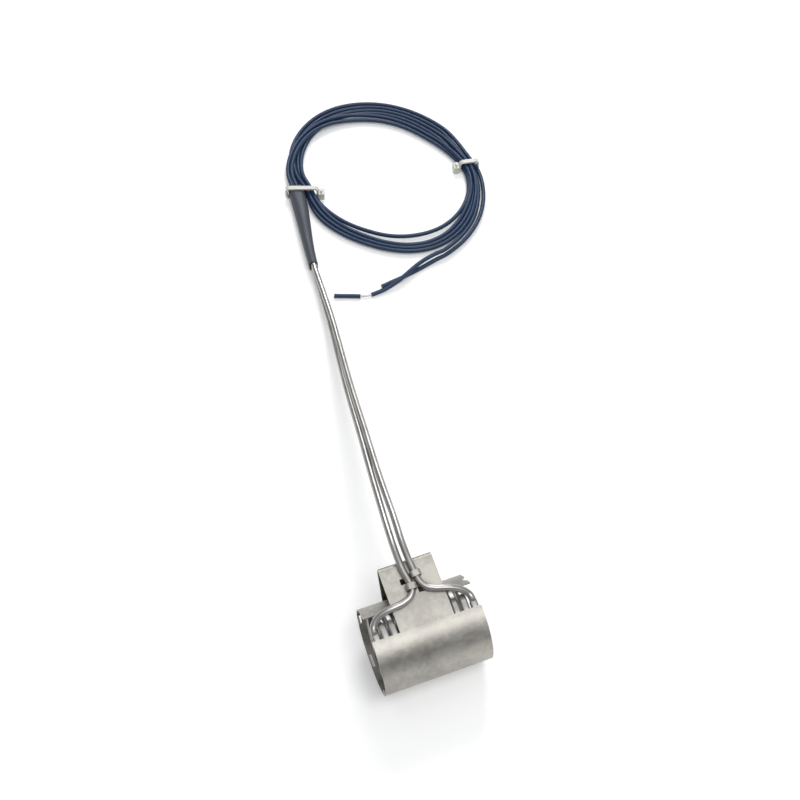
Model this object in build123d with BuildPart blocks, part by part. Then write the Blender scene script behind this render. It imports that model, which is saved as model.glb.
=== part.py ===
from build123d import *
from math import acos, atan2, cos, degrees, hypot, pi, radians, sin, tan
import os

os.makedirs("parts", exist_ok=True)

# Frame: X along the bore, Y back along the heater legs, Z up, origin at the centre of the bore.
# Angles round the bore are counted from +Y (back) over +Z (top) to -Y (front).

# Reflector sheath
sheath_od = 40.0
sheath_length = 51.0
sheet = 0.6
window_front = 98.0
window_back = 62.0
band_width = 25.3
band_shift = 0.15
band_lap = 4.0
tail_reach = 25.5
tail_radius = 2.2
tail_corner = 1.8
tail_corner_out = 0.25
flap_width = 45.0
flap_end = -55.0
flap_shoulder = -1.5
flap_foot = -8.0
flap_bite = 0.1
tab_width = 6.0
tab_angles = [200.0, 279.0, 345.0]
slot_width = 1.2

# Heater: flattened in the coil, round in the legs
flat_width = 3.6
flat_thickness = 2.4
flat_corner = 1.0
tube_od = 3.2
tube_wall = 0.35
coil_pitch = 4.15
coil_turns = 4.0 + 240.0 / 360.0
coil_gap = 0.05
fill_gap = 0.02
wire_depth = 0.9
pin_d = 1.1
pin_depth = 8.0
pin_reach = 8.0
seal_length = 3.0
leg_bend_r = 4.0
taper_length = 1.0
leg_lead = 2.3
leg_clear = 0.1
clip_gap = 0.2
clip_corner = 0.7
clip_length = 2.8
punched = [(-3.6, 18.0, 2.6, 2.6), (3.1, 12.5, 3.0, 2.6)]

# Joint and shrink sleeve
crimp_od = 2.2
crimp_start = 3.5
crimp_length = 9.0
lead_start = 13.0
mouth_gap = 0.02
inner_sleeve_wall = 0.4
inner_sleeve_over = 1.5
sleeve_wall = 0.7
sleeve_fit = 0.05
# Sleeve's sections: middle x, y, z, sideways lean of its run, width and height
sleeve_sections = [
    (20.72, 230.4, -15.85, 0.12, 5.0, 8.2),
    (22.6, 246.0, -15.85, 0.12, 6.0, 8.2),
    (25.4, 264.5, -15.88, 0.14, 8.0, 8.0),
    (28.5, 289.0, -15.85, 0.115, 9.2, 5.6),
]

# Leads, hank and ties
lead_d = 2.4
conductor_d = 1.1
stripped_gap = 0.05
hank_top = -13.85
hank_round = 0.9
tie_thickness = 1.0
tie_width = 2.5
tie_gap = 0.05
head_size = (3.6, 4.6, 4.8)
head_round = 0.5
head_shift = 0.0
stub_length = 1.6
# Ties: name, middle x and y, turn from X, inner width and height, side of the head
ties = [
    ("cable_tie_left", 31.2, 284.9, 20.0, 17.4, 6.4, 1),
    ("cable_tie_right", 131.05, 271.5, 10.0, 10.0, 5.5, -1),
]
# Hank's outline in plan: round the outside, back under the tails, and the opening's edge
hank_outer = [
    (25.3, 292.2), (29.2, 307.7), (35.4, 322.6), (43.8, 335.4), (56.7, 345.5), (72.7, 348.8),
    (89.1, 344.8), (102.0, 338.5), (112.1, 330.2), (121.6, 320.3), (128.9, 308.5),
    (133.0, 293.7), (134.6, 278.3), (135.1, 263.6), (132.2, 247.1), (124.2, 232.1),
    (114.9, 222.8), (104.5, 216.2),
]
hank_under = [
    (81.4, 218.7), (69.8, 223.4), (59.2, 230.7), (50.0, 238.8), (41.3, 249.1), (35.2, 259.7),
]
hank_inner = [
    (34.9, 291.6), (37.3, 304.9), (42.1, 315.8), (49.3, 324.5), (58.0, 329.7), (68.9, 331.5),
    (83.5, 328.9), (96.2, 322.4), (105.0, 314.2), (112.4, 304.4), (119.1, 293.1),
    (124.2, 281.3), (127.3, 271.1), (125.2, 258.8), (118.7, 247.2), (109.6, 239.1),
    (99.0, 234.2), (87.5, 233.3), (76.6, 235.3), (66.2, 240.3), (57.8, 247.4), (49.7, 255.9),
    (43.1, 266.5), (39.0, 277.1), (36.9, 285.9),
]

# Sizes that follow
sheath_r = sheath_od / 2
inner_r = sheath_r - sheet
floor_z = -sheath_r
coil_outer = inner_r - coil_gap
coil_mid = coil_outer - flat_thickness / 2
bore_r = coil_outer - flat_thickness + 0.05
coil_start = -(sheath_length / 2 - sheet - 0.1 - flat_width / 2)
coil_height = coil_turns * coil_pitch
bend_r = -(coil_start + coil_height)
bend_angle = 90.0 + coil_turns * 360.0
tube_r = tube_od / 2
lead_r = lead_d / 2
hank_bottom = floor_z + tie_thickness + tie_gap


def corner_radii(points):
    """Radius at each inner point: 0.45 of the shorter run, over the tangent of half the turn."""
    vectors = [Vector(*p) for p in points]
    radii = []
    for before, here, after in zip(vectors, vectors[1:], vectors[2:]):
        turn = radians((here - before).get_angle(after - here))
        radii.append(0.45 * min((here - before).length, (after - here).length) / tan(turn / 2))
    return radii


# The band leaves the sheath as a tangent at the front edge of the windows
band_normal = (cos(radians(window_front)), sin(radians(window_front)))
tail_y = tail_reach
tail_z = (sheath_r - tail_radius - band_normal[0] * tail_y) / band_normal[1]
tail_line = degrees(atan2(tail_z, tail_y))


def band_top(y):
    """Height of the band's upper face at a distance back from the bore's axis."""
    return (sheath_r - band_normal[0] * y) / band_normal[1]


def wedge(start, end, reach):
    """Corner points of a wedge from the axis between two angles."""
    middle = (start + end) / 2
    points = [(0, 0)]
    for angle in (start, middle, end):
        points.append((reach * cos(radians(angle)), reach * sin(radians(angle))))
    return points


far = 3 * sheath_od
band_left = band_shift - band_width / 2
band_right = band_shift + band_width / 2
flap_left = -flap_width / 2
flap_right = flap_width / 2

# Clips stand on the band; the tubes run through them
clip_lift = clip_gap + tube_r
leg_rise = clip_lift / band_normal[1]

left_leg = [
    (coil_start, 0.0, coil_mid),
    (-20.4, 6.3, 20.6),
    (-16.6, 7.3, 22.4),
    (-12.6, 7.7, band_top(7.7) + leg_rise),
    (-7.6, 8.1, band_top(8.1) + leg_rise),
    (-3.6, 9.4, band_top(9.4) + leg_rise),
    (-1.2, 12.0, band_top(12.0) + leg_rise),
    (-1.1, 16.0, band_top(16.0) + leg_rise),
    (-2.1, 21.0, band_top(21.0) + leg_rise),
    (-2.5, 27.5, band_top(27.5) + leg_rise),
    (-2.3, 35.0, 25.9),
    (-1.2, 47.0, 23.4),
    (2.0, 76.0, 16.0),
    (5.7, 104.3, 8.0),
    (9.4, 137.0, -1.25),
    (13.95, 169.0, -8.9),
    (16.6, 188.0, -12.45),
    (18.6, 209.0, -15.3),
    (20.6, 229.4, -17.5),
    (22.6, 246.0, -17.5),
]
right_leg = [
    (-coil_start, 0.0, coil_mid),
    (21.0, 5.6, 20.4),
    (17.6, 7.4, 22.2),
    (13.4, 8.8, band_top(8.8) + leg_rise),
    (9.0, 10.0, band_top(10.0) + leg_rise),
    (5.2, 11.8, band_top(11.8) + leg_rise),
    (3.0, 15.0, band_top(15.0) + leg_rise),
    (2.4, 20.5, band_top(20.5) + leg_rise),
    (1.9, 27.5, band_top(27.5) + leg_rise),
    (2.0, 36.0, 26.0),
    (3.3, 48.0, 23.6),
    (5.2, 75.3, 17.0),
    (8.3, 103.8, 10.0),
    (11.6, 137.0, 1.25),
    (15.65, 169.0, -6.0),
    (17.9, 188.0, -9.4),
    (19.5, 209.0, -12.2),
    (20.6, 229.4, -14.2),
    (22.6, 246.0, -14.2),
]

# Each clip sits on a straight run of its leg: the run's first point and how far along it
clips = [(left_leg, 6, 0.55), (right_leg, 6, 0.75)]

# The return flap before it is joined: wide where it lies on the cylinder, narrow at the tail
with BuildPart() as return_flap:
    with BuildSketch(Plane.YZ):
        Circle(sheath_r + sheet - flap_bite)
        with Locations((tail_y, tail_z)):
            Circle(tail_radius)
        make_hull()
        with BuildSketch(mode=Mode.SUBTRACT):
            Circle(sheath_r - flap_bite)
            with Locations((tail_y, tail_z)):
                Circle(tail_radius - sheet)
            make_hull()
        with BuildSketch(mode=Mode.INTERSECT):
            with BuildLine():
                Polyline(*wedge(flap_end, tail_line, far), close=True)
            make_face()
    extrude(amount=flap_width / 2, both=True)
    with BuildSketch(Plane.XZ.offset(-far)):
        with BuildLine():
            Polyline((band_left, far), (band_left, flap_shoulder), (flap_left, flap_foot),
                     (-far, flap_foot), (-far, far), close=True)
        make_face()
        with BuildLine():
            Polyline((band_right, far), (band_right, flap_shoulder), (flap_right, flap_foot),
                     (far, flap_foot), (far, far), close=True)
        make_face()
    extrude(amount=far, mode=Mode.SUBTRACT)

# Reflector sheath: one sheet, rolled into a split cylinder, led over the coil as a band,
# folded at the tail and brought back to lie on the cylinder's back
torn_angle = radians(45.0)
torn_normal = (0, cos(torn_angle), sin(torn_angle))
with BuildPart() as reflector_sheath:
    with BuildSketch(Plane.YZ.offset(band_left)):
        Circle(sheath_r)
        with Locations((tail_y, tail_z)):
            Circle(tail_radius)
        make_hull()
        with BuildSketch(mode=Mode.SUBTRACT):
            Circle(inner_r)
            with Locations((tail_y, tail_z)):
                Circle(tail_radius - sheet)
            make_hull()
        with BuildSketch(mode=Mode.INTERSECT):
            with BuildLine():
                Polyline(*wedge(tail_line, window_front + band_lap, far), close=True)
            make_face()
    extrude(amount=band_width)
    with BuildSketch(Plane.YZ.offset(-sheath_length / 2)):
        Circle(sheath_r)
        Circle(inner_r, mode=Mode.SUBTRACT)
        with BuildSketch(mode=Mode.SUBTRACT):
            with BuildLine():
                Polyline(*wedge(window_back, window_front, far), close=True)
            make_face()
    extrude(amount=sheath_length)
    add(return_flap.part)
    # The fold's two rounded corners
    for side in (-1, 1):
        corner_x = band_shift + side * (band_width / 2 + tail_corner_out - tail_corner)
        corner_y = tail_y + tail_radius + tail_corner_out - tail_corner
        with BuildSketch(Plane.XY):
            with Locations((corner_x + side * tail_corner, corner_y + tail_corner)):
                Rectangle(2 * tail_corner, 2 * tail_corner)
            with Locations((corner_x, corner_y)):
                Circle(tail_corner, mode=Mode.SUBTRACT)
        extrude(amount=far, mode=Mode.SUBTRACT)
    # Tabs bent in at both mouths keep the coil from sliding out, each beside its slot
    for side in (-1, 1):
        for angle in tab_angles:
            with Locations(Plane.YZ.offset(side * (sheath_length - sheet) / 2)):
                with PolarLocations((inner_r + bore_r) / 2 + 0.3, 1, start_angle=angle):
                    Box(inner_r - bore_r, tab_width, sheet)
            with Locations(Plane.YZ.offset(side * (sheath_length / 2 - sheet - slot_width / 2))):
                with PolarLocations(inner_r, 1, start_angle=angle):
                    Box(4 * sheet, tab_width, slot_width, mode=Mode.SUBTRACT)
    # Punched holes in the band: one under the left clip's mouth, one beside it
    for x, y, across, along in punched:
        with Locations(Plane((x, y, band_top(y)), (1, 0, 0), (0, band_normal[0], band_normal[1]))):
            Box(across, along, 4 * sheet, mode=Mode.SUBTRACT)
    # Clips: strips raised from the band over each tube
    for leg, run, share in clips:
        across = tube_od + 2 * clip_gap
        rise = clip_lift + across / 2
        x = leg[run][0] + share * (leg[run + 1][0] - leg[run][0])
        y = leg[run][1] + share * (leg[run + 1][1] - leg[run][1])
        turn = atan2(leg[run][0] - leg[run + 1][0], leg[run + 1][1] - leg[run][1])
        at = Plane((x, y, band_top(y)), (1, 0, 0), (0, band_normal[0], band_normal[1]))
        at = at.rotated((0, 0, degrees(turn)))
        with BuildSketch(Plane(at.origin - at.y_dir * clip_length / 2, at.x_dir, at.y_dir)):
            RectangleRounded(across + 2 * sheet, 2 * (rise + sheet), clip_corner + sheet)
            RectangleRounded(across, 2 * rise, clip_corner, mode=Mode.SUBTRACT)
            with Locations((0, far / 2)):
                Rectangle(far, far, mode=Mode.SUBTRACT)
            with Locations((0, sheet / 4)):
                Rectangle(across + 2 * sheet, sheet / 2)
        extrude(amount=clip_length)
    # The right wing's torn corner
    with BuildSketch(Plane((sheath_length / 2, 0, 0), (1, 0, 0), torn_normal)):
        with BuildLine():
            Polyline((0.5, 11.5), (-0.1, 10.6), (-0.8, 8.4), (-1.5, 5.8), (-1.4, 2.4),
                     (-1.0, 0.4), (-2.7, -1.7), (-2.2, -2.8), (-0.6, -3.8), (-0.2, -5.8),
                     (0.5, -8.0), close=True)
        make_face()
    extrude(amount=far, mode=Mode.SUBTRACT)

reflector_sheath.part.label = "reflector_sheath"
export_step(reflector_sheath.part, "parts/reflector_sheath.step")

# The heater's middle line: a half coil from the left leg, and the return bend at the coil's back
with BuildLine() as half_coil:
    Helix(pitch=coil_pitch, height=coil_height, radius=coil_mid,
          center=(coil_start, 0, 0), direction=(1, 0, 0))
coil_line = half_coil.line
coil_end = coil_line @ 1
end_way = coil_line % 1
bend_middle = radians(bend_angle) + bend_r / coil_mid
with BuildLine() as return_bend:
    Spline(coil_end, (0, coil_mid * cos(bend_middle), coil_mid * sin(bend_middle)),
           (-coil_end.X, coil_end.Y, coil_end.Z),
           tangents=[end_way, (end_way.X, -end_way.Y, -end_way.Z)])
with BuildLine() as bore_axis:
    Line((-bend_r, 0, 0), (bend_r, 0, 0))
way_out = -(coil_line % 0)
# The taper rises, so that the round leg stays clear of the bore
taper_rise = bore_r + tube_r - coil_mid + leg_clear
left_out = coil_line @ 0 + way_out * taper_length + Vector(0, 0, taper_rise)
right_out = Vector(-left_out.X, left_out.Y, left_out.Z)
flat_start = Plane(coil_line @ 0, (1, 0, 0), way_out)
flat_end = Plane(coil_end, (1, 0, 0), end_way)


def leg_path(start, leg):
    """Round leg from the taper's end, straight on at first, then through its points."""
    way = way_out if start.X < 0 else Vector(-way_out.X, way_out.Y, way_out.Z)
    points = [tuple(start), tuple(start + way * leg_lead)] + leg[1:]
    radii = corner_radii(points)
    radii[0] = leg_bend_r
    return FilletPolyline(*points, radius=radii)


def flat_section(inset, mode=Mode.ADD):
    """Flattened section of the coil, or the section a given depth under its surface."""
    corner = max(flat_corner - inset, 0.2)
    return RectangleRounded(flat_width - 2 * inset, flat_thickness - 2 * inset, corner, mode=mode)


def heater_run(outside, inside=0.0):
    """Coil, return bend and legs between two depths under the tube's surface."""
    with BuildPart() as half:
        with BuildSketch(flat_start):
            flat_section(outside)
            if inside:
                flat_section(inside, Mode.SUBTRACT)
        sweep(path=coil_line, is_frenet=True)
    with BuildPart() as taper:
        with BuildSketch(flat_start):
            flat_section(outside)
        with BuildSketch(Plane(left_out, (1, 0, 0), way_out)):
            Circle(tube_r - outside)
        loft()
        if inside:
            with BuildSketch(flat_start):
                flat_section(inside)
            with BuildSketch(Plane(left_out, (1, 0, 0), way_out)):
                Circle(tube_r - inside)
            loft(mode=Mode.SUBTRACT)
    with BuildPart() as bend:
        with BuildSketch(flat_end):
            flat_section(outside)
            if inside:
                flat_section(inside, Mode.SUBTRACT)
        sweep(path=return_bend.line, binormal=bore_axis.edges()[0])
    with BuildPart() as whole:
        add([half.part, taper.part])
        with Locations((0, 0, 0)):
            Cylinder(bore_r, 2 * sheath_length, rotation=(0, 90, 0), mode=Mode.SUBTRACT)
        mirror(about=Plane.YZ)
        add(bend.part)
        with Locations((0, 0, 0)):
            Cylinder(bore_r, 2 * bend_r + 2 * flat_width, rotation=(0, 90, 0), mode=Mode.SUBTRACT)
        for start, leg in ((left_out, left_leg), (right_out, right_leg)):
            with BuildLine() as path:
                leg_path(start, leg)
            with BuildSketch(Plane(path.line @ 0, z_dir=path.line % 0)):
                Circle(tube_r - outside)
                if inside:
                    Circle(tube_r - inside, mode=Mode.SUBTRACT)
            sweep(path=path.line)
    return whole.part


# Heater tube: one bent tube, open at both ends; its bore faces lie on one cylinder
with BuildPart() as heater_tube:
    add(heater_run(0.0, tube_wall))
heater_tube.part.label = "heater_tube"
export_step(heater_tube.part, "parts/heater_tube.step")

# Ends of the tube: planes that face out along the last run of each leg
ends = {}
for side, leg in (("left", left_leg), ("right", right_leg)):
    ends[side] = Plane(leg[-1], (1, 0, 0), Vector(*leg[-1]) - Vector(*leg[-2]))

# Magnesia fill, packed round the resistance coil; it stops short of the seals
with BuildPart() as magnesia_fill:
    add(heater_run(tube_wall + fill_gap, wire_depth))
    for end in ends.values():
        with BuildSketch(end):
            Circle(tube_r)
        extrude(amount=-seal_length - fill_gap, mode=Mode.SUBTRACT)
        with BuildSketch(end):
            Circle(pin_d / 2 + fill_gap)
        extrude(amount=-pin_depth - fill_gap, mode=Mode.SUBTRACT)
magnesia_fill.part.label = "magnesia_fill"
export_step(magnesia_fill.part, "parts/magnesia_fill.step")

# Resistance coil: the outer form of the fine wound wire, pressed flat with the tube
with BuildPart() as resistance_coil:
    add(heater_run(wire_depth + fill_gap))
    for end in ends.values():
        with BuildSketch(end):
            Circle(tube_r)
        extrude(amount=-pin_depth - fill_gap, mode=Mode.SUBTRACT)
resistance_coil.part.label = "resistance_coil"
export_step(resistance_coil.part, "parts/resistance_coil.step")

# Terminal pins, end seals, crimps, inner sleeves and stripped wire ends, one set for each leg
for side, end in ends.items():
    with BuildPart() as terminal_pin:
        with BuildSketch(end.offset(-pin_depth)):
            Circle(pin_d / 2)
        extrude(amount=pin_depth + pin_reach)
    terminal_pin.part.label = "terminal_pin_" + side
    export_step(terminal_pin.part, "parts/terminal_pin_" + side + ".step")
    with BuildPart() as end_seal:
        with BuildSketch(end.offset(-seal_length)):
            Circle(tube_r - tube_wall)
            Circle(pin_d / 2, mode=Mode.SUBTRACT)
        extrude(amount=seal_length)
    end_seal.part.label = "end_seal_" + side
    export_step(end_seal.part, "parts/end_seal_" + side + ".step")
    with BuildPart() as crimp:
        with BuildSketch(end.offset(crimp_start)):
            Circle(crimp_od / 2)
            Circle(pin_d / 2 + stripped_gap, mode=Mode.SUBTRACT)
        extrude(amount=crimp_length)
    crimp.part.label = "crimp_" + side
    export_step(crimp.part, "parts/crimp_" + side + ".step")
    with BuildPart() as inner_sleeve:
        with BuildSketch(end.offset(crimp_start - inner_sleeve_over)):
            Circle(crimp_od / 2 + sleeve_fit + inner_sleeve_wall)
            Circle(crimp_od / 2 + sleeve_fit, mode=Mode.SUBTRACT)
        extrude(amount=crimp_length + inner_sleeve_over)
    inner_sleeve.part.label = "inner_sleeve_" + side
    export_step(inner_sleeve.part, "parts/inner_sleeve_" + side + ".step")
    with BuildPart() as stripped_end:
        with BuildSketch(end.offset(pin_reach + stripped_gap)):
            Circle(conductor_d / 2)
        extrude(amount=lead_start - pin_reach - stripped_gap)
    stripped_end.part.label = "stripped_end_" + side
    export_step(stripped_end.part, "parts/stripped_end_" + side + ".step")

# Shrink sleeve over the joint: tall over the stacked tubes, wide over the two leads
stations = []
for x, y, z, way_x, width, height in sleeve_sections:
    stations.append((Plane((x, y, z), (1, -way_x, 0), (way_x, 1, 0)), width, height))
with BuildPart() as shrink_sleeve:
    for depth, mode in ((0.0, Mode.ADD), (sleeve_wall, Mode.SUBTRACT)):
        for at, width, height in stations:
            with BuildSketch(at):
                corner = min(width, height) / 2 - depth - 0.05
                RectangleRounded(width - 2 * depth, height - 2 * depth, corner)
        loft(mode=mode)
shrink_sleeve.part.label = "shrink_sleeve"
export_step(shrink_sleeve.part, "parts/shrink_sleeve.step")

# Leads: from the crimps to the sleeve's mouth, where they run on into the hank
mouth = stations[-1][0]
half_apart = lead_d / 2 + 0.15
lead_left_start_route = [
    tuple(ends["left"].offset(lead_start).origin),
    tuple(ends["left"].offset(lead_start + 7.0).origin),
    (25.3, 273.7, -16.85),
    tuple(mouth.origin - mouth.x_dir * half_apart - mouth.z_dir * 7.4),
    tuple(mouth.origin - mouth.x_dir * half_apart),
]
lead_right_start_route = [
    tuple(ends["right"].offset(lead_start).origin),
    tuple(ends["right"].offset(lead_start + 7.0).origin),
    (27.5, 273.7, -14.9),
    tuple(mouth.origin + mouth.x_dir * half_apart - mouth.z_dir * 7.4),
    tuple(mouth.origin + mouth.x_dir * half_apart),
]
lead_tail_long_route = [
    (94.1, 215.2, -15.1),
    (89.5, 215.0, -15.4),
    (84.6, 214.2, -15.8),
    (78.6, 212.6, -16.15),
    (72.7, 209.9, -16.2),
    (68.0, 207.4, -16.3),
    (63.0, 205.2, -16.8),
    (56.9, 203.5, -17.7),
    (51.0, 202.5, -18.6),
    (45.3, 202.3, -18.8),
]
lead_tail_short_route = [
    (94.1, 213.3, -17.5),
    (89.4, 212.9, -17.85),
    (84.2, 212.0, -18.4),
    (78.0, 210.5, -18.8),
    (72.3, 209.2, -18.8),
    (67.3, 208.1, -18.8),
    (62.6, 207.3, -18.8),
    (57.6, 206.6, -18.8),
    (52.6, 205.7, -18.8),
]
conductor_route = [
    (45.2, 202.3, -18.8),
    (42.4, 202.6, -18.8),
    (39.4, 203.4, -18.8),
    (36.6, 204.48, -18.8),
]
insulation_slug_route = [
    (39.2, 203.48, -18.8),
    (25.6, 208.7, -18.8),
]
cords = [
    ("lead_left_start", lead_left_start_route, lead_d),
    ("lead_right_start", lead_right_start_route, lead_d),
    ("lead_tail_long", lead_tail_long_route, lead_d),
    ("lead_tail_short", lead_tail_short_route, lead_d),
    ("bare_conductor", conductor_route, conductor_d),
]
for name, route, diameter in cords:
    radii = corner_radii(route)
    with BuildPart() as cord:
        with BuildLine() as line:
            FilletPolyline(*route, radius=radii)
        with BuildSketch(Plane(line.line @ 0, z_dir=line.line % 0)):
            Circle(diameter / 2)
        sweep(path=line.line)
    cord.part.label = name
    export_step(cord.part, "parts/" + name + ".step")
    length = line.wire().length
    expected = length * pi * diameter ** 2 / 4
    print(name, "length", round(length, 1), "volume", round(cord.part.volume, 1),
          "section x length", round(expected, 1), "radii", [round(r, 1) for r in radii])

# Slug of insulation cut loose and pushed over the bare conductor's tip
with BuildPart() as insulation_slug:
    tip = Vector(*insulation_slug_route[1]) - Vector(*insulation_slug_route[0])
    with BuildSketch(Plane(insulation_slug_route[0], z_dir=tip)):
        Circle(lead_d / 2)
        Circle(conductor_d / 2 + stripped_gap, mode=Mode.SUBTRACT)
    extrude(amount=tip.length)
insulation_slug.part.label = "insulation_slug"
export_step(insulation_slug.part, "parts/insulation_slug.step")

# Hank: the outer form of the wound leads, with a notch for the sleeve's end and a step
# where the two tails come away
notch_left = mouth.origin - mouth.x_dir * (stations[-1][1] / 2 + 0.05) + mouth.z_dir * mouth_gap
notch_right = mouth.origin + mouth.x_dir * (stations[-1][1] / 2 + 0.15) + mouth.z_dir * mouth_gap
with BuildPart() as lead_hank:
    with BuildSketch(Plane.XY.offset(hank_bottom)):
        with BuildLine():
            Spline((notch_left.X, notch_left.Y), *hank_outer, (94.3, 211.9))
            Line((94.3, 211.9), (94.3, 217.3))
            Spline((94.3, 217.3), *hank_under, (31.4, 271.5))
            Line((31.4, 271.5), (notch_right.X, notch_right.Y))
            Line((notch_right.X, notch_right.Y), (notch_left.X, notch_left.Y))
        make_face()
        with BuildLine():
            Spline(*hank_inner, periodic=True)
        make_face(mode=Mode.SUBTRACT)
    extrude(amount=hank_top - hank_bottom)
    rims = lead_hank.edges().filter_by(GeomType.BSPLINE)
    fillet(rims, hank_round)
lead_hank.part.label = "lead_hank"
export_step(lead_hank.part, "parts/lead_hank.step")
print("lead_hank", lead_hank.part.is_valid, lead_hank.part.volume)

# Cable ties: each a band, its head and the cut tail as one moulding
for name, x, y, turn, width, height, head in ties:
    along = (cos(radians(turn)), -sin(radians(turn)), 0)
    at = Plane((x, y, floor_z + tie_thickness + height / 2), along, (-along[1], along[0], 0))
    with BuildPart() as cable_tie:
        with BuildSketch(at.offset(-tie_width / 2)):
            RectangleRounded(width + 2 * tie_thickness, height + 2 * tie_thickness, 1.6 + tie_thickness)
            RectangleRounded(width, height, 1.6, mode=Mode.SUBTRACT)
        extrude(amount=tie_width)
        middle = head * (width / 2 + tie_thickness + head_size[0] / 2 - 0.2)
        lift = (head_size[2] - height) / 2 - tie_thickness
        with BuildSketch(at.offset(head_shift - head_size[1] / 2)):
            with Locations((middle, -lift)):
                RectangleRounded(head_size[0], head_size[2], head_round)
        extrude(amount=head_size[1])
        with BuildSketch(at.offset(head_shift - tie_width / 2 + 0.2)):
            with Locations((middle, -lift - head_size[2] / 2)):
                Rectangle(tie_thickness, 2 * stub_length)
        extrude(amount=tie_width - 0.4)
    cable_tie.part.label = name
    export_step(cable_tie.part, "parts/" + name + ".step")
    print(name, cable_tie.part.is_valid, len(cable_tie.part.solids()), cable_tie.part.volume)
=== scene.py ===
import math

import bpy
from mathutils import Matrix, Vector


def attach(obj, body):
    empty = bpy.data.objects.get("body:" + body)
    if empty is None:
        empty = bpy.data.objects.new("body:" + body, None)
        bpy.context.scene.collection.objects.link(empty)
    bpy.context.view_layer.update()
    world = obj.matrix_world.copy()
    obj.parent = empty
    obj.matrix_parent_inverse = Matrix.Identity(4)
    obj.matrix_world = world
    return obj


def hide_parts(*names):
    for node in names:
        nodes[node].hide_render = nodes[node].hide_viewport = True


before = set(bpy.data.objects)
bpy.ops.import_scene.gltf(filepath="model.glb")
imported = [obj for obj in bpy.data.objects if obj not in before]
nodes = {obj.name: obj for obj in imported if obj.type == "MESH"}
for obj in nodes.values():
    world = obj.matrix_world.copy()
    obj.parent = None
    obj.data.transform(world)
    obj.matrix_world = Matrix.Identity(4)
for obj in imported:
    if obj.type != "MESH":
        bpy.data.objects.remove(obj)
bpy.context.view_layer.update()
scene = bpy.context.scene
mm = 0.001

# Camera: stands in front and to the left of the sheath, looking down at 58
# degrees, with a focal length of one and a half image widths.
camera_place = (-76.7 * mm, -182.4 * mm, 516.0 * mm)
camera_turn = -19.8
camera_tilt = 32.0
camera_roll = -0.3
camera_data = bpy.data.cameras.new("camera")
camera_data.sensor_width = 36.0
camera_data.lens = 1.5 * camera_data.sensor_width
camera_data.clip_start = 0.05
camera_data.clip_end = 20.0
camera = bpy.data.objects.new("camera", camera_data)
scene.collection.objects.link(camera)
camera.matrix_world = (
    Matrix.Translation(camera_place)
    @ Matrix.Rotation(math.radians(camera_turn), 4, "Z")
    @ Matrix.Rotation(math.radians(camera_tilt), 4, "X")
    @ Matrix.Rotation(math.radians(camera_roll), 4, "Z")
)
scene.camera = camera

# Leads: two round wires in smooth dark blue insulation, crimped to the heater's
# pins inside the sleeve, wound two and two thirds times into the hank, where they
# lie in one or two layers, and let out at the lower right as a long and a short tail.
lead_diameter = 2.4
ring_x, ring_y = 81.0, 283.0
ring_inside = [
    (34.9, 291.6), (37.3, 304.9), (42.1, 315.8), (49.3, 324.5), (58.0, 329.7), (68.9, 331.5),
    (83.5, 328.9), (96.2, 322.4), (105.0, 314.2), (112.4, 304.4), (119.1, 293.1),
    (124.2, 281.3), (127.3, 271.1), (125.2, 258.8), (118.7, 247.2), (109.6, 239.1),
    (99.0, 234.2), (87.5, 233.3), (76.6, 235.3), (66.2, 240.3), (57.8, 247.4), (49.7, 255.9),
    (43.1, 266.5), (39.0, 277.1), (36.9, 285.9),
]
start_angle = 173.5
whole_turns = 2
tails_at = 252.8
steps_a_turn = 28


def polar(points):
    """Points round the ring as sorted (angle, radius) with one more at each end."""
    pairs = sorted(
        (math.degrees(math.atan2(y - ring_y, x - ring_x)) % 360.0,
         math.hypot(x - ring_x, y - ring_y))
        for x, y in points
    )
    before = (pairs[-1][0] - 360.0, pairs[-1][1])
    after = (pairs[0][0] + 360.0, pairs[0][1])
    return [before] + pairs + [after]


def reading(pairs, where):
    """Value of a list of (place, value) at a place, straight between its entries."""
    for (a, low), (b, high) in zip(pairs, pairs[1:]):
        if a <= where <= b:
            return low + (high - low) * (where - a) / (b - a)
    raise ValueError(where)


inner_edge = polar(ring_inside)

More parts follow.
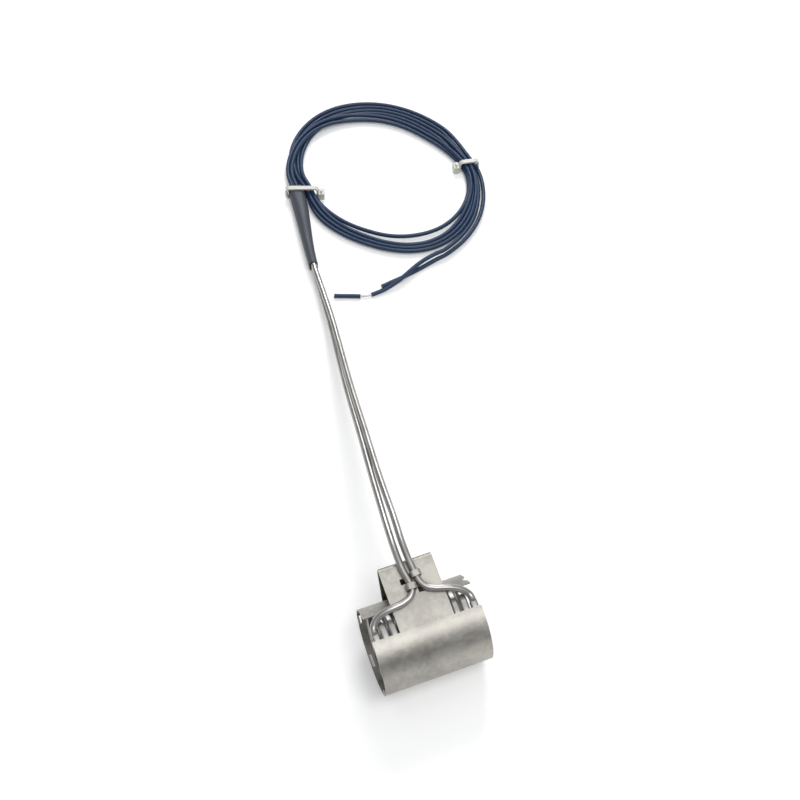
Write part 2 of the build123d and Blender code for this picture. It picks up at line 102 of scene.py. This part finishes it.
# Each pass of wires a and b round the ring: degrees from the left tie, distance from
# the ring's inner edge, height
low_z = -17.7
lanes = {
    "a1": [(0, 8.9, -15.85), (15, 9.1, -16.0), (22, 8.2, -15.3), (30, 7.15, -15.3),
           (45, 5.55, -15.3), (60, 4.9, -15.25), (75, 4.2, -15.3), (90, 4.6, -17.0),
           (105, 5.0, low_z), (120, 4.6, low_z), (135, 4.2, low_z), (150, 3.8, -17.5),
           (165, 2.8, -15.9), (180, 2.45, -15.5), (195, 2.45, -15.5), (210, 2.6, -15.7),
           (220, 3.2, -16.2), (230, 4.2, -17.4), (240, 5.9, low_z), (tails_at, 8.0, low_z),
           (260, 8.2, low_z), (270, 7.6, low_z), (285, 5.9, low_z), (300, 5.0, low_z),
           (315, 4.1, low_z), (330, 3.7, -17.2), (345, 2.2, -15.5), (360, -0.7, -15.2)],
    "b1": [(0, 6.2, -15.85), (15, 6.8, -15.1), (22, 5.9, -14.8), (30, 4.7, -15.3),
           (45, 3.1, -15.3), (60, 1.9, -15.7), (75, 1.2, -17.3), (90, 1.2, low_z),
           (150, 1.2, low_z), (165, 1.2, low_z), (315, 1.2, low_z), (330, 1.2, low_z),
           (345, 1.0, low_z), (360, -0.7, low_z)],
    "a2": [(0, -0.7, -15.2), (15, 0.5, -16.0), (30, 1.0, low_z), (45, 1.9, low_z),
           (60, 3.6, low_z), (75, 5.6, low_z), (90, 7.1, low_z), (105, 7.5, low_z),
           (120, 7.2, low_z), (135, 6.8, low_z), (150, 6.3, low_z), (165, 4.4, low_z),
           (180, 3.7, low_z), (195, 3.7, low_z), (210, 4.0, low_z), (220, 5.1, low_z),
           (230, 6.7, low_z), (240, 8.4, low_z), (tails_at, 10.5, low_z), (260, 10.7, low_z),
           (270, 10.1, low_z), (285, 8.4, low_z), (300, 7.6, low_z), (315, 6.6, low_z),
           (330, 6.2, -17.2), (345, 4.6, -15.5), (360, 1.75, -15.2)],
    "b2": [(0, -0.7, low_z), (15, 2.3, low_z), (30, 3.45, low_z), (45, 4.35, low_z),
           (60, 6.2, low_z), (75, 8.3, low_z), (90, 9.7, low_z), (105, 10.1, low_z),
           (120, 9.9, low_z), (135, 9.5, low_z), (150, 8.9, -17.5), (165, 6.15, -15.9),
           (180, 4.95, -15.5), (195, 4.95, -15.5), (210, 5.5, -15.7), (220, 7.0, -16.2),
           (230, 9.2, -17.4), (240, 10.9, low_z), (tails_at, 13.0, low_z), (260, 13.2, low_z),
           (270, 12.6, low_z), (285, 10.9, low_z), (300, 10.1, low_z), (315, 9.2, low_z),
           (330, 8.6, low_z), (345, 5.8, low_z), (360, 1.75, low_z)],
    "a3": [(0, 1.75, -15.2), (15, 4.4, -16.3), (30, 5.9, low_z), (45, 6.8, low_z),
           (60, 9.0, low_z), (75, 11.3, low_z), (90, 12.5, low_z), (105, 12.8, low_z),
           (120, 12.5, low_z), (135, 12.2, low_z), (150, 11.4, low_z), (165, 7.9, low_z),
           (180, 6.2, low_z), (195, 6.2, low_z), (210, 7.0, low_z), (220, 9.0, -17.4),
           (230, 11.8, -17.0), (240, 14.2, -16.3), (tails_at, 18.4, -15.1)],
    "b3": [(0, 1.75, low_z), (15, 6.5, low_z), (30, 8.35, low_z), (45, 9.3, low_z),
           (60, 11.9, low_z), (75, 14.5, low_z), (90, 15.6, low_z), (105, 15.5, low_z),
           (120, 15.3, low_z), (135, 15.0, low_z), (150, 13.9, low_z), (165, 11.1, low_z),
           (180, 8.7, low_z), (195, 8.7, low_z), (210, 10.4, low_z), (220, 12.4, low_z),
           (230, 14.5, low_z), (240, 16.7, low_z), (tails_at, 20.3, -17.5)],
}


def hank_points(wire):
    """The wire's turns in the hank, from just after the sleeve's mouth to the tails."""
    points = []
    total = 360.0 * whole_turns + tails_at
    count = int(round(total / 360.0 * steps_a_turn))
    for step in range(1, count):
        run = total * step / count
        turn = int(run // 360.0)
        place = run - 360.0 * turn
        lane = lanes[wire + str(turn + 1)]
        away = reading([(t, d) for t, d, z in lane], place)
        height = reading([(t, z) for t, d, z in lane], place)
        angle = (start_angle - place) % 360.0
        radius = reading(inner_edge, angle) + away
        points.append((ring_x + radius * math.cos(math.radians(angle)),
                       ring_y + radius * math.sin(math.radians(angle)), height))
    return points


# Each wire from its crimp through the sleeve to the hank, and its tail
starts = {
    "a": [(24.155, 258.907, -17.5), (24.992, 265.857, -17.5), (25.3, 273.7, -16.85),
          (26.32, 281.81, -15.85), (27.16, 289.15, -15.85)],
    "b": [(24.155, 258.907, -14.2), (24.992, 265.857, -14.2), (27.5, 273.7, -14.9),
          (29.0, 281.5, -15.85), (29.84, 288.85, -15.85)],
}
tails = {
    "a": [(94.1, 215.2, -15.1), (89.5, 215.0, -15.4), (84.6, 214.2, -15.8),
          (78.6, 212.6, -16.15), (72.7, 209.9, -16.2), (68.0, 207.4, -16.3),
          (63.0, 205.2, -16.8), (56.9, 203.5, -17.7), (51.0, 202.5, -18.6),
          (45.3, 202.3, -18.8)],
    "b": [(94.1, 213.3, -17.5), (89.4, 212.9, -17.85), (84.2, 212.0, -18.4),
          (78.0, 210.5, -18.8), (72.3, 209.2, -18.8), (67.3, 208.1, -18.8),
          (62.6, 207.3, -18.8), (57.6, 206.6, -18.8), (52.6, 205.7, -18.8)],
}


def wire_curve(name, points, diameter):
    """A round cord through points in millimetres, as one open spline."""
    data = bpy.data.curves.new(name, "CURVE")
    data.dimensions = "3D"
    spline = data.splines.new("NURBS")
    spline.points.add(len(points) - 1)
    for point, (x, y, z) in zip(spline.points, points):
        point.co = (x * mm, y * mm, z * mm, 1.0)
    spline.order_u = 3
    spline.use_endpoint_u = True
    spline.resolution_u = 4
    data.bevel_depth = diameter / 2 * mm
    data.bevel_resolution = 5
    data.use_fill_caps = True
    obj = bpy.data.objects.new(name, data)
    scene.collection.objects.link(obj)
    return obj


def spline_length(points):
    """Length of the drawn spline, from the middles between its points."""
    middles = [points[0]]
    for first, second in zip(points[1:], points[2:-1]):
        middles.append(tuple((a + b) / 2 for a, b in zip(first, second)))
    middles.append(points[-1])
    return sum(math.dist(a, b) for a, b in zip(middles, middles[1:]))


class Wire:
    """A shader socket, so that sums and products of sockets read as maths."""

    def __init__(self, tree, socket):
        self.tree = tree
        self.socket = socket

    def make(self, kind, settings, inputs, output=0):
        """Any node, from its type, its settings and the values or wires of its inputs."""
        node = self.tree.nodes.new(kind)
        for name, value in settings.items():
            setattr(node, name, value)
        for name, value in inputs.items():
            if isinstance(value, Wire):
                self.tree.links.new(value.socket, node.inputs[name])
            else:
                node.inputs[name].default_value = value
        return Wire(self.tree, node.outputs[output])

    def maths(self, operation, other, first=None):
        first = self if first is None else first
        return self.make("ShaderNodeMath", {"operation": operation}, {0: first, 1: other})

    def __add__(self, other):
        return self.maths("ADD", other)

    def __radd__(self, other):
        return self.maths("ADD", self, other)

    def __mul__(self, other):
        return self.maths("MULTIPLY", other)

    def __rmul__(self, other):
        return self.maths("MULTIPLY", self, other)

    def between(self, low, high):
        """0 at low, 1 at high, smooth in between."""
        return self.make(
            "ShaderNodeMapRange",
            {"interpolation_type": "SMOOTHSTEP"},
            {"Value": self, "From Min": low, "From Max": high},
        )

    def noise(self, scale, detail=3.0, roughness=0.5, stretch=None):
        """Noise with features about 1/scale metres across; stretch scales the axes first."""
        where = self
        if stretch:
            where = self.make("ShaderNodeMapping", {}, {"Vector": self, "Scale": stretch})
        return self.make(
            "ShaderNodeTexNoise",
            {},
            {"Vector": where, "Scale": scale, "Detail": detail, "Roughness": roughness},
        )

    def mix(self, low, high):
        """Colour between low and high by this value; 6, 7 and 2 are Mix's colour sockets."""
        return self.make(
            "ShaderNodeMix", {"data_type": "RGBA"}, {0: self, 6: low, 7: high}, output=2
        )

    def bump(self, distance, strength=1.0, normal=None):
        """Normal for this height, on top of another normal if one is given."""
        inputs = {"Height": self, "Distance": distance, "Strength": strength}
        if normal is not None:
            inputs["Normal"] = normal
        return self.make("ShaderNodeBump", {}, inputs)


def new_material(name, base, roughness, metallic=0.0, **extra):
    """A material with uniform values, its shader, and the place on the object as a Wire."""
    material = bpy.data.materials.new(name)
    material.use_nodes = True
    shader = material.node_tree.nodes["Principled BSDF"]
    shader.inputs["Base Color"].default_value = (*base, 1.0)
    shader.inputs["Roughness"].default_value = roughness
    shader.inputs["Metallic"].default_value = metallic
    for key, value in extra.items():
        shader.inputs[key.replace("_", " ")].default_value = value
    coords = material.node_tree.nodes.new("ShaderNodeTexCoord")
    return material, shader, Wire(material.node_tree, coords.outputs["Object"])


def plug(shader, **wires):
    """Links wires to the shader's sockets."""
    for key, wire in wires.items():
        wire.tree.links.new(wire.socket, shader.inputs[key.replace("_", " ")])


insulation, shader, place = new_material("lead_insulation", (0.012, 0.034, 0.085), 0.42,
                                         Specular_IOR_Level=0.4)
grain = place.noise(900.0, 3.0)
plug(shader, Normal=grain.bump(0.00006, 0.5),
     Roughness=0.36 + place.noise(160.0, 2.0) * 0.14)

lead_solids = {
    "a": ("lead_left_start", "lead_hank", "lead_tail_long"),
    "b": ("lead_right_start", "lead_tail_short"),
}
for wire in ("a", "b"):
    route = starts[wire] + hank_points(wire) + tails[wire]
    lead = wire_curve("lead_" + wire, route, lead_diameter)
    lead.data.materials.append(insulation)
    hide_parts(*lead_solids[wire])
    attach(lead, "root")
    [c * mm for c in route[0]]
    spline_length(route) * mm

# Reflector sheath: one sheet of stainless steel 0.6 mm thick, rolled, folded at the
# tail, with tabs turned in at the mouths; matt from tempering, in pale and dark clouds.


def dress(material, *names):
    """Gives CAD nodes a material."""
    for name in names:
        mesh = nodes[name].data
        if mesh.materials:
            for index in range(len(mesh.materials)):
                mesh.materials[index] = material
        else:
            mesh.materials.append(material)


sheet_steel, shader, place = new_material("sheet_steel", (0.39, 0.38, 0.355), 0.45, 1.0)
cloud = place.noise(70.0, 4.0, 0.55)
fine = place.noise(1500.0, 3.0, 0.6, (0.25, 1.0, 1.0))
pits = place.noise(2600.0, 2.0, 0.6)
mottle = place.noise(420.0, 3.0, 0.6)
dark_steel = (0.33, 0.315, 0.29, 1.0)
pale_steel = (0.46, 0.445, 0.405, 1.0)
tone = (cloud * 0.6 + mottle * 0.4).between(0.36, 0.64).mix(dark_steel, pale_steel)
plug(shader, Base_Color=tone,
     Roughness=0.30 + cloud * 0.12 + mottle * 0.14 + fine * 0.06,
     Normal=pits.bump(0.00007, 0.6, mottle.bump(0.00012, 0.35)))
dress(sheet_steel, "reflector_sheath")

# Heater tube: one stainless tube, pressed flat in the coil and round in the legs,
# bent in the middle of its length; satin, a little browned in places.
tube_steel, shader, place = new_material("tube_steel", (0.46, 0.45, 0.43), 0.4, 1.0)
streak = place.noise(900.0, 3.0, 0.55, (1.0, 0.08, 0.6))
cloud = place.noise(90.0, 3.0)
browned = (0.40, 0.39, 0.375, 1.0)
clean = (0.49, 0.48, 0.465, 1.0)
tone = cloud.between(0.35, 0.7).mix(browned, clean)
plug(shader, Base_Color=tone, Roughness=0.28 + streak * 0.16,
     Normal=streak.bump(0.00003, 0.3))
dress(tube_steel, "heater_tube")

# Inner parts of the heater and of its joint: packed magnesia and the wound wire in the
# tube, seals at its ends, plated crimps, and woven glass sleeves over them.
magnesia, shader, place = new_material("magnesia", (0.86, 0.85, 0.80), 0.9)
plug(shader, Normal=place.noise(2500.0, 2.0).bump(0.00005, 0.5))
dress(magnesia, "magnesia_fill")
wound_wire, shader, place = new_material("resistance_wire", (0.40, 0.38, 0.35), 0.45, 1.0)
plug(shader, Normal=place.noise(2500.0, 2.0).bump(0.00005, 0.5))
dress(wound_wire, "resistance_coil")
seal, shader, place = new_material("seal_compound", (0.72, 0.70, 0.64), 0.6)
plug(shader, Normal=place.noise(1800.0, 2.0).bump(0.00005, 0.5))
dress(seal, "end_seal_left", "end_seal_right")
plated, shader, place = new_material("crimp_metal", (0.66, 0.65, 0.62), 0.28, 1.0)
plug(shader, Roughness=0.22 + place.noise(700.0, 2.0) * 0.15)
dress(plated, "crimp_left", "crimp_right")
glass_cloth, shader, place = new_material("glass_sleeving", (0.85, 0.84, 0.78), 0.8)
plug(shader, Normal=place.noise(2200.0, 2.0).bump(0.0001, 0.6))
dress(glass_cloth, "inner_sleeve_left", "inner_sleeve_right")

# Wire metal: nickel-plated strands, shown as one round conductor, bare at the long
# tail's end and inside the crimps; the terminal pins are plain nickel. A cut piece of
# the lead's insulation is pushed over the bare end.
nickel, shader, place = new_material("nickel_wire", (0.50, 0.48, 0.45), 0.35, 1.0)
strand = place.make("ShaderNodeTexWave", {"bands_direction": "DIAGONAL"},
                    {"Vector": place, "Scale": 700.0, "Distortion": 0.4})
plug(shader, Normal=strand.bump(0.00008, 0.7))
dress(nickel, "bare_conductor", "stripped_end_left", "stripped_end_right",
      "terminal_pin_left", "terminal_pin_right")
dress(insulation, "insulation_slug")

# Shrink sleeve: one length of heat-shrunk tubing over the joint, slate grey and matt,
# with faint lengthwise ridges from what it is drawn down on.
shrink, shader, place = new_material("shrink_tube", (0.055, 0.062, 0.082), 0.5)
ridge = place.noise(420.0, 3.0, 0.5, (1.0, 0.12, 1.0))
plug(shader, Roughness=0.42 + ridge * 0.2, Normal=ridge.bump(0.00025, 0.5))
dress(shrink, "shrink_sleeve")

# Cable ties: uncoloured nylon, each moulded in one piece, pulled tight round the hank
# and cut off at its head.
nylon, shader, place = new_material("natural_nylon", (0.62, 0.61, 0.56), 0.38,
                                    Subsurface_Weight=0.25,
                                    Subsurface_Radius=(0.003, 0.003, 0.0025))
plug(shader, Normal=place.noise(900.0, 2.0).bump(0.00004, 0.4))
dress(nylon, "cable_tie_left", "cable_tie_right")

# Floor and light: a white table under a soft white studio sky, bright overhead and in a
# narrow band at the horizon, with one large light above and in front and one behind;
# the table shows a little paler to the camera and in the metal than it is lit.
floor_reach = 30.0
floor_z = -0.0201
floor_glow = 0.18


def seen_directly(tree):
    """1 for rays from the camera and for those that a mirror or glass passes on."""
    rays = tree.nodes.new("ShaderNodeLightPath")
    camera_ray = Wire(tree, rays.outputs["Is Camera Ray"])
    glossy = Wire(tree, rays.outputs["Is Glossy Ray"])
    through = Wire(tree, rays.outputs["Is Transmission Ray"])
    return camera_ray.maths("MAXIMUM", glossy.maths("MAXIMUM", through))


floor_mesh = bpy.data.meshes.new("floor")
floor_mesh.from_pydata(
    [(-floor_reach, -floor_reach, floor_z), (floor_reach, -floor_reach, floor_z),
     (floor_reach, floor_reach, floor_z), (-floor_reach, floor_reach, floor_z)],
    [], [(0, 1, 2, 3)])
floor = bpy.data.objects.new("floor", floor_mesh)
scene.collection.objects.link(floor)
white, shader, place = new_material("floor_white", (0.93, 0.93, 0.93), 0.9,
                                    Specular_IOR_Level=0.1, Emission_Strength=1.0)
plug(shader, Emission_Color=seen_directly(place.tree).mix(
    (0.0, 0.0, 0.0, 1.0), (floor_glow, floor_glow, floor_glow, 1.0)))
floor_mesh.materials.append(white)

world = bpy.data.worlds.new("world")
scene.world = world
world.use_nodes = True
tree = world.node_tree
background = tree.nodes["Background"]
background.inputs["Color"].default_value = (0.98, 0.99, 1.0, 1.0)
coords = tree.nodes.new("ShaderNodeTexCoord")
split = tree.nodes.new("ShaderNodeSeparateXYZ")
tree.links.new(coords.outputs["Generated"], split.inputs[0])
up = Wire(tree, split.outputs["Z"])
side = Wire(tree, split.outputs["X"])
overhead = up.between(0.35, 1.0) * 0.62
horizon = up.between(0.13, 0.04) * 0.5
sky = overhead + 0.17 + side.between(-0.6, 0.9) * 0.08 + horizon
tree.links.new(sky.socket, background.inputs["Strength"])


def area_light(name, place, target, side, power):
    """A square lamp at a place, turned to a target."""
    data = bpy.data.lights.new(name, "AREA")
    data.shape = "RECTANGLE"
    data.size = side
    data.size_y = side
    data.energy = power
    lamp = bpy.data.objects.new(name, data)
    lamp.location = place
    lamp.rotation_euler = (Vector(target) - Vector(place)).to_track_quat("-Z", "Y").to_euler()
    scene.collection.objects.link(lamp)


area_light("key", (0.22, -0.32, 1.2), (0.05, 0.05, 0.0), 0.55, 5.5)
area_light("back", (0.4, 1.0, 0.8), (0.05, 0.1, 0.0), 0.5, 6.5)
scene.view_settings.view_transform = "Standard"
